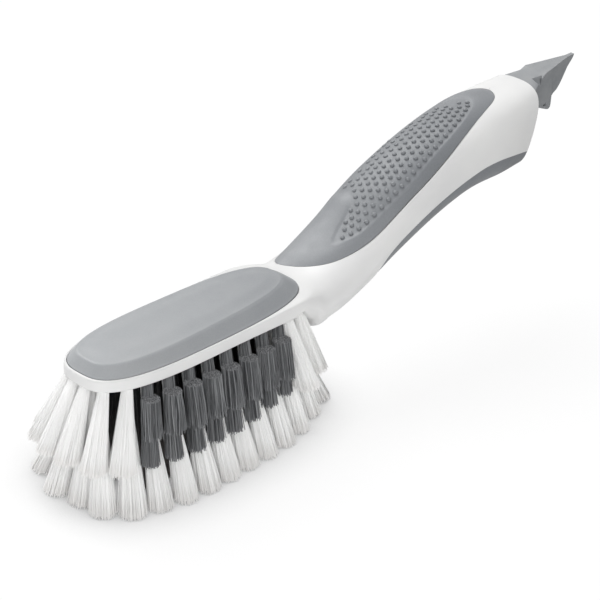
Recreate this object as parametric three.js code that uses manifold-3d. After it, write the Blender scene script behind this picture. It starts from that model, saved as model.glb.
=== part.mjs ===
// Shoe brush: a long hollow handle with soft pads, a bristle head and a pick in its butt.
// Millimetres, +Z up. +X runs from the head to the butt, and the brush is alike on both sides of y = 0
// but for the outline of its grip pad. The origin is on the floor under the middle of the head,
// on the flat end of a bristle.
import * as THREE from 'three';
import { mergeVertices } from 'three/addons/utils/BufferGeometryUtils.js';
import Module from 'manifold-3d';

const wasm = await Module();
wasm.setup();

// Head
const bristleReach = 45; // floor to the underside of the head
const rimHeight = 5.2; // white band round the head
const padLength = 100;
const padWidth = 35.6;
const ovalPower = 3; // fullness of the corners of the head's outline
const rimLip = 1.1; // white edge left round the pad
const rimSkirt = 0.9; // wall of the band round the tuft strips
const padSeat = 1.6; // depth of the pad's pocket
const padBevel = 3.6; // slope round the pad, as wide as it is high
const padCrown = 0.7; // rise of the top inside the slope
const crownRun = 7.2; // distance over which it rises
const stripThickness = 1.5; // slice of the head that carries the outer tufts
const plateauDrop = 3.2; // how far the middle of the head stands below the strips
const plateauInset = 4.9; // from the rim's outline to the plateau

// Handle
const handleReach = 131.5; // top of the butt behind the pad's rear end
const handleRise = 39.4; // top of the butt above the seam plane
const handleDepth = 32.3; // at the butt
const handleWidth = 34;
const skin = 1.2; // thickness of the soft pads on the handle
const wall = 1.3; // hard shell under the pads
const sideWall = 2; // hard shell at the bare sides
const clearance = 0.3;
const cavityStart = 14; // behind the pad's rear end
const slotStart = 40; // core slot under the lower pad, behind the pad's rear end
const slotEndRoom = 29.5; // from the slot's other end to the butt
const slotWidth = 16;
const neckNose = 5.8; // drop of the neck's nose behind the bristles
const lowerPadDrop = 3; // lower pad's edge below the middle of the handle
const lowerPadStart = 26; // behind the pad's rear end
const lowerPadSweep = 14; // length of its pointed front

// Butt and pick
const buttSlope = 0.31; // how far the butt's end leans, per unit of height
const buttRadius = 28; // roundness of the butt's end seen from above
const flangeThickness = 2.4; // dome over the butt's mouth
const flangeInset = 1.1;
const tangLength = 12;
const tangWall = 1.4;
const pickReach = 28.5; // tip beyond the butt's top
const pickHalfWidth = 6;
const pickBaseHalfWidth = 4.8;
const pickDepth = 17;
const pickLift = 0.4; // flat top of the pick above the butt's top
const pickTip = 0.9; // half width of the blunt tip
const pickKeel = 1.5; // half width of its lower edge
const pickWaist = 7; // widest place of the pick, behind its base
const lugReach = 14.5;
const lugDepth = 20;
const lugHalfWidth = 2.6;
const lugRound = 3;

// Bristles
const tuftInset = 2.9; // outer tufts, from the rim's outline
const greyPitch = 9;
const greyFrontRoom = 14.5; // from the outer tufts' front end to the first grey column
const greyRearRoom = 18; // least room left behind the last one
const greyFrontMargin = 2.4; // strip in front of the first column
const greyRearMargin = 3.2; // strip behind the last column
const greyEndHeight = 16;
const shankStrands = 3;
const greyLean = 0.28;
const collarTop = 39.5; // flat top of the short bundle on each grey tuft
const collarEnd = 25;
const collarOffset = 2;
const collarRadius = 2.3;
const collarEndRadius = 2.6;
const collarStrands = 5;
const collarTurn = 50; // degrees from strand to strand
const bandHeight = 2; // bonded band that holds the short bundle
const bandRadius = 3.7;
const bandOffset = 1.4;
const whiteEndHeight = 21;
const shortStrands = 7;
const frontShortTufts = 5;
const frontEdgeRoom = 4.9; // from the first grey column to the nearest white short tuft
const frontLean = 0.49;
const frontFan = 2; // how much sooner the front tufts turn sideways
const rearPitch = 6.6;
const rearSideLean = 0.3;
const rearBackLean = 0.1;
const fringeInset = 2.2; // fringe tufts, from the plateau's outline
const fringeStrands = 6;
const frontFringeTufts = 7;
const rearFringeTufts = 5;
const fringeSpreadLong = 1.2; // size of the fringe on the floor, against its size at the roots
const fringeSpreadWide = 2.26;
const fanSpread = 1.2; // spread of the grey rows along the head on the floor, against their roots
const coreStrands = 4;
const corePitch = 8.5;
const coreRowShare = 0.72; // side rows of the core, in the room across it
const coreLean = 0.16;
const rootRadius = 1.2; // ring of strands at a tuft's root
const shankRadius = 1.3; // ring at the free end of a grey shank
const tipRadius = 2.8; // ring at the free end of the other tufts
const strandSides = 3;
const strandRoot = 0.55; // a strand's radius at its root
const shankTip = 0.6; // and at its free end
const collarTip = 0.85;
const strandTip = 1.35;
const floorCut = 0.5; // depth that the standing ends are cut flat

// Derived places
const seamHeight = bristleReach + rimHeight;
const padRear = padLength / 2;
const rimHalfLength = padLength / 2 + rimLip;
const rimHalfWidth = padWidth / 2 + rimLip;
const stripTop = bristleReach + stripThickness;
const farAway = 400;

// Head stations: distance behind the pad's rear end, top and depth below the seam plane, half width,
// and fullness of the section
const headStations = [
  { behind: -padRear, drop: 0, depth: rimHeight, half: rimHalfWidth, power: 7 },
  { behind: -10, drop: 0.1, depth: rimHeight, half: rimHalfWidth - 0.3, power: 6 },
  { behind: -4, drop: 0.3, depth: rimHeight + 0.4, half: rimHalfWidth - 0.6, power: 4.5 },
  { behind: -1, drop: 0.3, depth: rimHeight + neckNose, half: rimHalfWidth - 0.8, power: 3.6 },
];

// Handle stations: shares of the handle's reach, rise, depth and width, and fullness of the section
const handleStations = [
  { along: 0.023, rise: -0.005, depth: 0.464, width: 1.053, power: 3.1 },
  { along: 0.068, rise: 0.02, depth: 0.539, width: 1.024, power: 2.7 },
  { along: 0.122, rise: 0.081, depth: 0.588, width: 1, power: 2.5 },
  { along: 0.228, rise: 0.264, depth: 0.693, width: 0.976, power: 2.4 },
  { along: 0.35, rise: 0.543, depth: 0.82, width: 0.982, power: 2.4 },
  { along: 0.502, rise: 0.761, depth: 0.842, width: 1, power: 2.4 },
  { along: 0.654, rise: 0.893, depth: 0.867, width: 1.012, power: 2.4 },
  { along: 0.806, rise: 0.959, depth: 0.935, width: 1, power: 2.4 },
  { along: 0.973, rise: 1, depth: 1, width: 0.918, power: 2.4 },
  { along: 1.141, rise: 1.015, depth: 1.034, width: 0.847, power: 2.4 },
];

// Grip pad's outline seen from above: shares of the handle's reach and half width
const gripOutline = [
  [0.061, 0.29], [0.091, -0.18], [0.167, -0.59], [0.274, -0.8], [0.411, -0.85], [0.578, -0.75],
  [0.745, -0.43], [0.856, 0], [0.821, 0.47], [0.684, 0.74], [0.502, 0.87], [0.304, 0.89],
  [0.137, 0.88], [0.068, 0.71],
];

// Materials
const whitePlastic = new THREE.MeshStandardMaterial({ color: 0xf1f2f2, roughness: 0.4, metalness: 0 });
const greyRubber = new THREE.MeshStandardMaterial({ color: 0x8d9194, roughness: 0.65, metalness: 0 });
const greyPlastic = new THREE.MeshStandardMaterial({ color: 0x7d8084, roughness: 0.5, metalness: 0 });
const whiteBristle = new THREE.MeshStandardMaterial({ color: 0xf4f4f3, roughness: 0.5, metalness: 0 });
const greyBristle = new THREE.MeshStandardMaterial({ color: 0x595a5c, roughness: 0.5, metalness: 0 });

const part = new THREE.Group();

// Closed geometry to solid, and back to a named mesh
function solid(geometry) {
  const bare = geometry.clone();
  bare.deleteAttribute('normal');
  bare.deleteAttribute('uv');
  const merged = mergeVertices(bare, 1e-4);
  return new wasm.Manifold(new wasm.Mesh({
    numProp: 3,
    vertProperties: new Float32Array(merged.attributes.position.array),
    triVerts: new Uint32Array(merged.index.array),
  }));
}

function addPart(name, body, material) {
  const { vertProperties, triVerts } = body.getMesh();
  const geometry = new THREE.BufferGeometry();
  geometry.setAttribute('position', new THREE.BufferAttribute(new Float32Array(vertProperties), 3));
  geometry.setIndex(new THREE.BufferAttribute(new Uint32Array(triVerts), 1));
  geometry.computeVertexNormals();
  const mesh = new THREE.Mesh(geometry, material);
  mesh.name = name;
  part.add(mesh);
}

const join = (bodies) => bodies.reduce((whole, body) => whole.add(body));

// Skin over a row of rings that all have as many points, with a fan over each end
function loft(rings) {
  const count = rings[0].length;
  const points = rings.flat();
  const index = [];
  for (let r = 0; r < rings.length - 1; r += 1) {
    for (let i = 0; i < count; i += 1) {
      const a = r * count + i;
      const b = r * count + ((i + 1) % count);
      index.push(a, b, a + count, b, b + count, a + count);
    }
  }
  const last = (rings.length - 1) * count;
  for (const [start, flip] of [[0, true], [last, false]]) {
    const middle = new THREE.Vector3();
    for (let i = 0; i < count; i += 1) middle.add(points[start + i]);
    const centre = points.push(middle.divideScalar(count)) - 1;
    for (let i = 0; i < count; i += 1) {
      const a = start + i;
      const b = start + ((i + 1) % count);
      index.push(...(flip ? [b, a, centre] : [a, b, centre]));
    }
  }
  const geometry = new THREE.BufferGeometry().setFromPoints(points);
  geometry.setIndex(index);
  return solid(geometry);
}

function box(xMin, xMax, yMin, yMax, zMin, zMax) {
  const geometry = new THREE.BoxGeometry(xMax - xMin, yMax - yMin, zMax - zMin);
  geometry.translate((xMin + xMax) / 2, (yMin + yMax) / 2, (zMin + zMax) / 2);
  return solid(geometry);
}

const signedPower = (value, power) => Math.sign(value) * Math.abs(value) ** (2 / power);

// Head outlines: an oval with full corners
function ovalPoint(angle, halfLength, halfWidth) {
  return new THREE.Vector2(
    halfLength * signedPower(Math.cos(angle), ovalPower),
    halfWidth * signedPower(Math.sin(angle), ovalPower),
  );
}

function ovalRing(halfLength, halfWidth, z, count = 56) {
  return Array.from({ length: count }, (_, i) => {
    const point = ovalPoint((2 * Math.PI * i) / count, halfLength, halfWidth);
    return new THREE.Vector3(point.x, point.y, z);
  });
}

function ovalSlab(inset, zMin, zMax) {
  const ring = (z) => ovalRing(rimHalfLength - inset, rimHalfWidth - inset, z);
  return loft([ring(zMin), ring(zMax)]);
}

// Handle sections
const sectionStations = [
  ...headStations.map((s) => ({
    x: padRear + s.behind,
    top: seamHeight - s.drop,
    bottom: seamHeight - s.depth,
    half: s.half,
    power: s.power,
  })),
  ...handleStations.map((s) => ({
    x: padRear + handleReach * s.along,
    top: seamHeight + handleRise * s.rise,
    bottom: seamHeight + handleRise * s.rise - handleDepth * s.depth,
    half: (handleWidth / 2) * s.width,
    power: s.power,
  })),
];
const sectionCurve = new THREE.CubicInterpolant(
  sectionStations.map((s) => s.x),
  sectionStations.flatMap((s) => [s.top, s.bottom, s.half, s.power]),
  4,
);

function section(x) {
  const [top, bottom, half, power] = sectionCurve.evaluate(x);
  return { top, bottom, half, power, middle: (top + bottom) / 2 };
}

function handleRing(x, sideInset, heightInset, count) {
  const { top, bottom, half, power, middle } = section(x);
  const rise = (top - bottom) / 2 - heightInset;
  return Array.from({ length: count }, (_, i) => {
    const angle = (2 * Math.PI * i) / count;
    return new THREE.Vector3(
      x,
      (half - sideInset) * signedPower(Math.cos(angle), power),
      middle + rise * signedPower(Math.sin(angle), power),
    );
  });
}

function handleLoft(xMin, xMax, steps, sideInset, heightInset, count = 28) {
  const rings = Array.from({ length: steps + 1 }, (_, i) => {
    return handleRing(xMin + ((xMax - xMin) * i) / steps, sideInset, heightInset, count);
  });
  return loft(rings);
}

// Side outline of the handle swept across it: everything between two heights given along x
function sideBand(xMin, xMax, lower, upper, steps = 24) {
  const shape = new THREE.Shape();
  const at = (i) => xMin + ((xMax - xMin) * i) / steps;
  for (let i = 0; i <= steps; i += 1) shape.lineTo(at(i), lower(at(i)));
  for (let i = steps; i >= 0; i -= 1) shape.lineTo(at(i), upper(at(i)));
  shape.curves.shift();
  const geometry = new THREE.ExtrudeGeometry(shape, { depth: farAway, bevelEnabled: false });
  geometry.rotateX(Math.PI / 2);
  geometry.translate(0, farAway / 2, 0);
  return solid(geometry);
}

// Plan outline of the grip pad, grown by a margin, as a tall prism
function gripPrism(margin) {
  const corners = gripOutline.map(([along, off]) => (
    new THREE.Vector3(padRear + handleReach * along, (handleWidth / 2) * off, 0)
  ));
  const curve = new THREE.CatmullRomCurve3(corners, true, 'centripetal');
  const count = 48;
  const shape = new THREE.Shape(Array.from({ length: count }, (_, i) => {
    const point = curve.getPoint(i / count);
    const along = curve.getTangent(i / count);
    return new THREE.Vector2(point.x + along.y * margin, point.y - along.x * margin);
  }));
  return solid(new THREE.ExtrudeGeometry(shape, { depth: farAway, bevelEnabled: false }));
}

// Rounded and leaning end of the butt, moved outwards by a distance
const buttX = padRear + handleReach;
const buttZ = section(buttX).top;
function buttCutter(outwards) {
  const cylinder = new THREE.CylinderGeometry(buttRadius, buttRadius, farAway, 48);
  cylinder.rotateX(Math.PI / 2);
  cylinder.rotateY(Math.atan(buttSlope));
  cylinder.translate(buttX + outwards - buttRadius / Math.cos(Math.atan(buttSlope)), 0, buttZ);
  const front = box(buttX - farAway, buttX - buttRadius * 0.9, -farAway, farAway, -farAway, farAway);
  return solid(cylinder).add(front);
}

// Solids that the handle's pieces share
const handleEnd = sectionStations[sectionStations.length - 1].x;
const outerSteps = 36;
const innerSteps = 28;
const handleOuter = handleLoft(0, handleEnd, outerSteps, 0, 0);
const underSkin = handleLoft(padRear, handleEnd, innerSteps, skin, skin);
const underPocket = handleLoft(padRear, handleEnd, innerSteps, skin + clearance, skin + clearance);
const shellInset = skin + clearance + wall;
const cavity = handleLoft(padRear + cavityStart, handleEnd, 14, sideWall, shellInset, 20);
const buttEnd = buttCutter(0);
const middleAt = (x) => section(x).middle;
const aboveMiddle = sideBand(padRear, handleEnd, middleAt, () => farAway);

const lowerPadTip = padRear + lowerPadStart;
function lowerEdge(margin) {
  return (x) => {
    const { bottom, middle } = section(x);
    const level = middle - lowerPadDrop + margin;
    const run = Math.min(1, Math.max(0, (x - lowerPadTip + margin) / lowerPadSweep));
    return bottom - skin + (level - bottom + skin) * Math.sin((run * Math.PI) / 2);
  };
}
const underPadBand = (margin) => (
  sideBand(lowerPadTip - margin, handleEnd, () => -farAway, lowerEdge(margin), 28)
);

// Body: head, neck and hollow handle in one moulding
function makeBody() {
  const headBlock = ovalSlab(0, bristleReach, seamHeight);
  const recess = ovalSlab(rimSkirt, -farAway, stripTop + clearance);
  const padPocket = ovalSlab(rimLip - clearance, seamHeight - padSeat - clearance, seamHeight + padBevel)
    .intersect(box(-farAway, farAway, -farAway, farAway, 0, seamHeight + padBevel));
  const gripPocket = gripPrism(clearance).intersect(aboveMiddle).subtract(underPocket);
  const lowerPocket = underPadBand(clearance).subtract(underPocket);
  const slotFrom = padRear + slotStart;
  const slotTo = padRear + handleReach - slotEndRoom;
  const coreSlot = sideBand(slotFrom, slotTo, () => -farAway, middleAt)
    .intersect(box(slotFrom, slotTo, -slotWidth / 2, slotWidth / 2, -farAway, farAway));
  return headBlock.add(handleOuter).intersect(buttEnd).subtract(cavity).subtract(recess)
    .subtract(padPocket).subtract(gripPocket).subtract(lowerPocket).subtract(coreSlot);
}

// Soft pad on the head: straight edge in its pocket, a slope all round and a low crown
function makeHeadPad() {
  const ring = (inset, z) => ovalRing(padLength / 2 - inset, padWidth / 2 - inset, z);
  const shoulder = seamHeight + padBevel;
  return loft([
    ring(0, seamHeight - padSeat),
    ring(0, seamHeight),
    ring(padBevel, shoulder),
    ring(padBevel + crownRun * 0.4, shoulder + padCrown * 0.6),
    ring(padBevel + crownRun, shoulder + padCrown),
  ]);
}

function makeGripPad() {
  return gripPrism(0).intersect(aboveMiddle).intersect(handleOuter).subtract(underSkin);
}

function makeLowerPad() {
  return underPadBand(0).intersect(handleOuter).intersect(buttEnd).subtract(underSkin);
}

// Pick: a flange over the butt's mouth, a hollow tang inside it, a flat-topped point and a lug below it
function makePick() {
  const flange = handleLoft(buttX - buttRadius, handleEnd, 10, flangeInset, flangeInset)
    .intersect(buttCutter(flangeThickness)).subtract(buttCutter(clearance));
  const tangShape = (start, inset) => handleLoft(start, handleEnd, 6,
    sideWall + clearance + inset, shellInset + clearance + inset, 20);
  const tangStart = buttX - tangLength;
  const tangCore = tangShape(tangStart - tangWall, tangWall).intersect(buttCutter(-clearance - tangWall));
  const tang = tangShape(tangStart, 0).intersect(buttCutter(flangeThickness / 2)).subtract(tangCore);
  const top = buttZ + pickLift;
  const slice = (x, half, keel, depth, z) => [
    new THREE.Vector3(x, -half, z), new THREE.Vector3(x, -keel, z - depth),
    new THREE.Vector3(x, keel, z - depth), new THREE.Vector3(x, half, z),
  ];
  const point = loft([
    slice(buttX - flangeThickness, pickBaseHalfWidth, pickKeel, pickDepth, top - flangeThickness),
    slice(buttX + pickWaist, pickHalfWidth, pickKeel, pickDepth, top),
    slice(buttX + pickReach, pickTip, pickTip / 4, pickTip * 2, top),
  ]);
  const lugBase = buttX - buttSlope * lugDepth - flangeThickness;
  const lugBottom = top - lugDepth;
  const lug = new THREE.Shape();
  lug.moveTo(lugBase, top - flangeThickness);
  lug.lineTo(lugBase, lugBottom);
  lug.lineTo(buttX + lugReach - lugRound, lugBottom);
  lug.quadraticCurveTo(buttX + lugReach, lugBottom, buttX + lugReach, lugBottom + lugRound);
  lug.lineTo(buttX + lugReach, top - flangeThickness);
  lug.closePath();
  const lugGeometry = new THREE.ExtrudeGeometry(lug, { depth: 2 * lugHalfWidth, bevelEnabled: false });
  lugGeometry.rotateX(Math.PI / 2);
  lugGeometry.translate(0, lugHalfWidth, 0);
  const outside = join([point, solid(lugGeometry)]).subtract(buttCutter(clearance));
  return join([tang, flange, outside]);
}

// Bristles: three-sided strands that grow wider from their roots, from z = low to z = high
function strand(axis, low, high, lowRadius, highRadius) {
  const ring = (z, radius) => Array.from({ length: strandSides }, (_, i) => {
    const angle = (2 * Math.PI * i) / strandSides;
    const middle = axis(z);
    return new THREE.Vector3(
      middle.x + radius * Math.cos(angle), middle.y + radius * Math.sin(angle), z,
    );
  });
  return loft([ring(low, lowRadius), ring(high, highRadius)]);
}

// Line that leans outwards from a root, at a distance off the tuft's middle that changes on its way
function strandAxis(root, lean, angle, low, lowRadius, high, highRadius) {
  return (z) => {
    const radius = THREE.MathUtils.mapLinear(z, low, high, lowRadius, highRadius);
    return new THREE.Vector2(
      root.x + lean.x * (root.z - z) + radius * Math.cos(angle),
      root.y + lean.y * (root.z - z) + radius * Math.sin(angle),
    );
  };
}

// One tuft down to z = low: a ring of strands round a middle one, which spread to their free ends
function tuft(root, lean, low, count, lowRadius = tipRadius, lowWidth = strandTip) {
  const high = root.z + stripThickness / 2;
  const facing = Math.atan2(lean.y, lean.x);
  return Array.from({ length: count }, (_, i) => {
    const onRing = i > 0 ? 1 : 0;
    const angle = facing + (2 * Math.PI * i) / (count - 1);
    const axis = strandAxis(root, lean, angle, low, lowRadius * onRing, high, rootRadius * onRing);
    return strand(axis, low, high, lowWidth, strandRoot);
  });
}

// Half width of an oval at a place along it
function ovalAcross(halfLength, halfWidth, x) {
  const rest = Math.max(0, 1 - Math.abs(x / halfLength) ** ovalPower);
  return halfWidth * rest ** (1 / ovalPower);
}

// Points spread evenly along the front (-1) or rear (1) end of an oval, beyond x = edge
function endPoints(halfLength, halfWidth, edge, end, count) {
  const turn = Math.acos((edge / halfLength) ** (ovalPower / 2));
  const steps = 60;
  const trail = Array.from({ length: steps + 1 }, (_, i) => {
    const point = ovalPoint(turn * ((2 * i) / steps - 1), halfLength, halfWidth);
    return new THREE.Vector2(end * point.x, point.y);
  });
  return new THREE.Path(trail).getSpacedPoints(count - 1);
}

// Places of the tufts
const outerLength = rimHalfLength - tuftInset;
const outerWidth = rimHalfWidth - tuftInset;
const greyFirst = greyFrontRoom - outerLength;
const greySteps = Math.floor((2 * outerLength - greyFrontRoom - greyRearRoom) / greyPitch);
const greyLast = greyFirst + greySteps * greyPitch;
const greyStart = greyFirst - greyFrontMargin;
const greyStop = greyLast + greyRearMargin;
const plateauBottom = bristleReach - plateauDrop;
const fringeLength = rimHalfLength - plateauInset - fringeInset;
const fringeWidth = rimHalfWidth - plateauInset - fringeInset;
const rootReach = rootRadius + strandRoot;
const fanLean = (x) => (x * (fanSpread - 1)) / bristleReach;
const coreInset = plateauInset + fringeInset + rootReach + clearance;
const plateau = ovalSlab(plateauInset, plateauBottom, stripTop);
const coreSlab = (grow) => ovalSlab(coreInset - grow, plateauBottom - grow, stripTop + grow);
const floorBox = box(-farAway, farAway, -farAway, farAway, -farAway, 0);
const aboveFloor = (bodies) => join(bodies).subtract(floorBox);

// Grey tufts of one side: a slim shank with a short flat-topped bundle bonded to its outer face
function makeGreySide(sign) {
  const sideRange = sign > 0 ? [0, farAway] : [-farAway, 0];
  const strip = ovalSlab(rimSkirt + clearance, bristleReach, stripTop)
    .subtract(ovalSlab(plateauInset - clearance, bristleReach - 1, stripTop + 1))
    .intersect(box(greyStart + clearance, greyStop - clearance, ...sideRange, 0, farAway));
  const bodies = [strip];
  const bandMiddle = collarTop - bandHeight / 2;
  for (let i = 0; i <= greySteps; i += 1) {
    const x = greyFirst + i * greyPitch;
    const root = new THREE.Vector3(x, sign * ovalAcross(outerLength, outerWidth, x), bristleReach);
    const lean = { x: fanLean(x), y: sign * greyLean };
    const shank = tuft(root, lean, greyEndHeight, shankStrands + 1, shankRadius, shankTip);
    bodies.push(...shank.slice(1));
    const outer = new THREE.Vector3(root.x, root.y + sign * collarOffset, root.z);
    for (let k = 0; k < collarStrands; k += 1) {
      const turn = THREE.MathUtils.degToRad(collarTurn * (k - (collarStrands - 1) / 2));
      const axis = strandAxis(
        outer, lean, sign * Math.PI / 2 + turn, collarEnd, collarEndRadius, bandMiddle, collarRadius,
      );
      bodies.push(strand(axis, collarEnd, bandMiddle, collarTip, strandRoot));
    }
    const band = new THREE.CylinderGeometry(bandRadius, bandRadius, bandHeight, 8);
    band.rotateX(Math.PI / 2);
    const sink = root.z - bandMiddle;
    band.translate(root.x + lean.x * sink, root.y + lean.y * sink + sign * bandOffset, bandMiddle);
    bodies.push(solid(band));
  }
  return join(bodies);
}

// White tufts: short ones on the head's ends, and the long fringe all round the plateau
function makeWhiteTufts() {
  const ends = ovalSlab(rimSkirt + clearance, bristleReach, stripTop)
    .subtract(box(greyStart, greyStop, -farAway, farAway, 0, farAway));
  const bodies = [plateau.add(ends).subtract(coreSlab(clearance))];
  const shortTuft = (x, y, lean) => {
    bodies.push(...tuft(new THREE.Vector3(x, y, bristleReach), lean, whiteEndHeight, shortStrands));
  };
  const shortEdge = frontEdgeRoom - greyFirst;
  for (const { x, y } of endPoints(outerLength, outerWidth, shortEdge, -1, frontShortTufts)) {
    const away = Math.atan2(y * frontFan, -x);
    shortTuft(x, y, { x: -frontLean * Math.cos(away), y: frontLean * Math.sin(away) });
  }
  const fringe = [
    ...endPoints(fringeLength, fringeWidth, -greyFirst, -1, frontFringeTufts),
    ...endPoints(fringeLength, fringeWidth, greyLast + greyPitch, 1, rearFringeTufts),
  ];
  for (const sign of [-1, 1]) {
    for (const x of [greyLast + rearPitch, greyLast + 2 * rearPitch]) {
      const y = sign * ovalAcross(outerLength, outerWidth, x);
      shortTuft(x, y, { x: rearBackLean, y: sign * rearSideLean });
    }
    for (let i = 0; i <= greySteps; i += 1) {
      const x = greyFirst + (i + 0.5) * greyPitch;
      fringe.push(new THREE.Vector2(x, sign * ovalAcross(fringeLength, fringeWidth, x)));
    }
  }
  for (const { x, y } of fringe) {
    const lean = {
      x: (x * (fringeSpreadLong - 1)) / plateauBottom,
      y: (y * (fringeSpreadWide - 1)) / plateauBottom,
    };
    bodies.push(...tuft(new THREE.Vector3(x, y, plateauBottom), lean, -floorCut, fringeStrands));
  }
  return aboveFloor(bodies);
}

// Grey tufts of the core, on their own slice of the plateau
function makeCoreTufts() {
  const bodies = [coreSlab(0)];
  const roomLong = rimHalfLength - coreInset - rootReach;
  const roomWide = rimHalfWidth - coreInset - rootReach;
  for (const [side, shift] of [[-1, 0.5], [0, 0], [1, 0.5]]) {
    const y = side * coreRowShare * roomWide;
    const steps = Math.floor(ovalAcross(roomWide, roomLong, y) / corePitch - shift);
    for (let i = -steps - 2 * shift; i <= steps; i += 1) {
      const x = (i + shift) * corePitch;
      const lean = { x: fanLean(x), y: side * coreLean };
      bodies.push(...tuft(new THREE.Vector3(x, y, plateauBottom), lean, -floorCut, coreStrands));
    }
  }
  return aboveFloor(bodies);
}

addPart('brush_body', makeBody(), whitePlastic);
addPart('head_pad', makeHeadPad(), greyRubber);
addPart('grip_pad', makeGripPad(), greyRubber);
addPart('lower_grip_pad', makeLowerPad(), greyRubber);
addPart('pick', makePick(), greyPlastic);
addPart('white_tufts', makeWhiteTufts(), whiteBristle);
addPart('grey_tufts_right', makeGreySide(-1), greyBristle);
addPart('grey_tufts_left', makeGreySide(1), greyBristle);
addPart('grey_tufts_core', makeCoreTufts(), greyBristle);

export default part;
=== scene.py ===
import math
from contextlib import contextmanager

import bpy
import numpy as np
from mathutils import Matrix, Vector


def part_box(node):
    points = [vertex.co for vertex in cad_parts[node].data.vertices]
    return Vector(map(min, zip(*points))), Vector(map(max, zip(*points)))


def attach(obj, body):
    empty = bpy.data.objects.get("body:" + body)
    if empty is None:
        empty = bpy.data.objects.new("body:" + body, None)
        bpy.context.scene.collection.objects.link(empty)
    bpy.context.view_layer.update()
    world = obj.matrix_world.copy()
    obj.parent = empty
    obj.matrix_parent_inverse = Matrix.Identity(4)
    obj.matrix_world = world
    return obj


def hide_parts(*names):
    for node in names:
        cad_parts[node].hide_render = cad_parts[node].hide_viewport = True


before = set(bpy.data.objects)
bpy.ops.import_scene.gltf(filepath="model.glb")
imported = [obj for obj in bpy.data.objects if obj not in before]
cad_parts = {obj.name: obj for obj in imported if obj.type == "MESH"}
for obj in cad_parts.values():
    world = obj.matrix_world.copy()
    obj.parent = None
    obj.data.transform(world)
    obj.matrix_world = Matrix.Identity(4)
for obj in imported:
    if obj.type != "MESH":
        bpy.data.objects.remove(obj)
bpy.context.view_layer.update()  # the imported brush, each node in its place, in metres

mm = 0.001  # all sizes below are in millimetres
meetReach = 0.02  # points nearer than this become one
scene = bpy.context.scene
dice = np.random.default_rng(11)  # one seeded source for all the loose ends


# small helpers

def nodeBox(name):
    low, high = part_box(name)
    return low / mm, high / mm


def smooth(value):
    value = min(max(value, 0.0), 1.0)
    return value * value * (3 - 2 * value)


# goes smoothly from 0 at the first of two values to 1 at the second
def span(value, ends):
    return smooth((value - ends[0]) / (ends[1] - ends[0]))


def blend(a, b, share):
    return a + (b - a) * share


# equal steps from just above 0 to 1
def steps(count):
    return [i / count for i in range(1, count + 1)]


def signedPower(value, power):
    return math.copysign(abs(value) ** (2 / power), value)


def deselectAll():
    if bpy.context.mode != "OBJECT":
        bpy.ops.object.mode_set(mode="OBJECT")
    bpy.ops.object.select_all(action="DESELECT")


def makeActive(piece):
    deselectAll()
    piece.select_set(True)
    bpy.context.view_layer.objects.active = piece


# edit mode on one piece, with everything selected or nothing
@contextmanager
def editing(piece, action="SELECT"):
    makeActive(piece)
    bpy.ops.object.mode_set(mode="EDIT")
    bpy.ops.mesh.select_all(action=action)
    yield
    bpy.ops.object.mode_set(mode="OBJECT")


def useModifier(piece, kind, **settings):
    makeActive(piece)
    modifier = piece.modifiers.new(kind.lower(), kind)
    for key, value in settings.items():
        setattr(modifier, key, value)
    bpy.ops.object.modifier_apply(modifier=modifier.name)


# a flat grid is added, and each of its points is put where place(u, v) says
def gridPiece(name, rows, columns, place):
    deselectAll()
    bpy.ops.mesh.primitive_grid_add(x_subdivisions=rows, y_subdivisions=columns, size=1)
    piece = bpy.context.object
    piece.name = name
    for point in piece.data.vertices:
        point.co = Vector(place(point.co.x + 0.5, point.co.y + 0.5)) * mm
    return piece


# merges what meets, so that seams and poles are closed, and turns the faces outwards
def closeSeams(piece, reach=meetReach, turn=True):
    with editing(piece):
        bpy.ops.mesh.remove_doubles(threshold=reach * mm)
        bpy.ops.mesh.dissolve_degenerate(threshold=reach * mm / 4)
        if turn:
            bpy.ops.mesh.normals_make_consistent(inside=False)


# turns an open skin over if its faces look away from the given side
def faceTowards(piece, side):
    looks = sum((face.normal * face.area for face in piece.data.polygons), Vector())
    if looks.dot(Vector(side)) < 0:
        with editing(piece):
            bpy.ops.mesh.flip_normals()


# fills what is open, and turns the faces outwards
def closeEnds(piece):
    with editing(piece, "DESELECT"):
        bpy.ops.mesh.select_non_manifold()
        bpy.ops.mesh.fill_holes(sides=0)
        bpy.ops.mesh.select_all(action="SELECT")
        bpy.ops.mesh.normals_make_consistent(inside=False)


# adds the other half of a piece that is alike on both sides
def mirrorHalf(piece):
    useModifier(piece, "MIRROR", use_axis=(False, True, False), merge_threshold=meetReach * mm)
    closeSeams(piece)


# gives a skin its thickness, inwards
def thicken(piece, depth):
    useModifier(piece, "SOLIDIFY", thickness=depth * mm, offset=-1)


# rounds the edges that turn by more than the angle
def roundEdges(piece, width, angle):
    useModifier(piece, "BEVEL", width=width * mm, segments=3, limit_method="ANGLE",
                angle_limit=math.radians(angle))


def cutAway(piece, cutter):
    useModifier(piece, "BOOLEAN", operation="DIFFERENCE", object=cutter, solver="EXACT")
    bpy.data.objects.remove(cutter)


def finishPiece(piece, nodes, material, angle):
    makeActive(piece)
    bpy.ops.object.shade_smooth_by_angle(angle=math.radians(angle))
    piece.data.materials.clear()
    piece.data.materials.append(material)
    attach(piece, "root")
    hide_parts(*nodes)


# camera, where the photograph was taken from

view = {
    "place": (-571.5, -606.7, 532.0),
    "azimuth": -46.063,
    "elevation": 29.526,
    "roll": 1.399,
    "focalPixels": 2715.3,
    "imagePixels": 600,
    "sensorWidth": 36,
    "farthest": 50,  # metres
}


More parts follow.
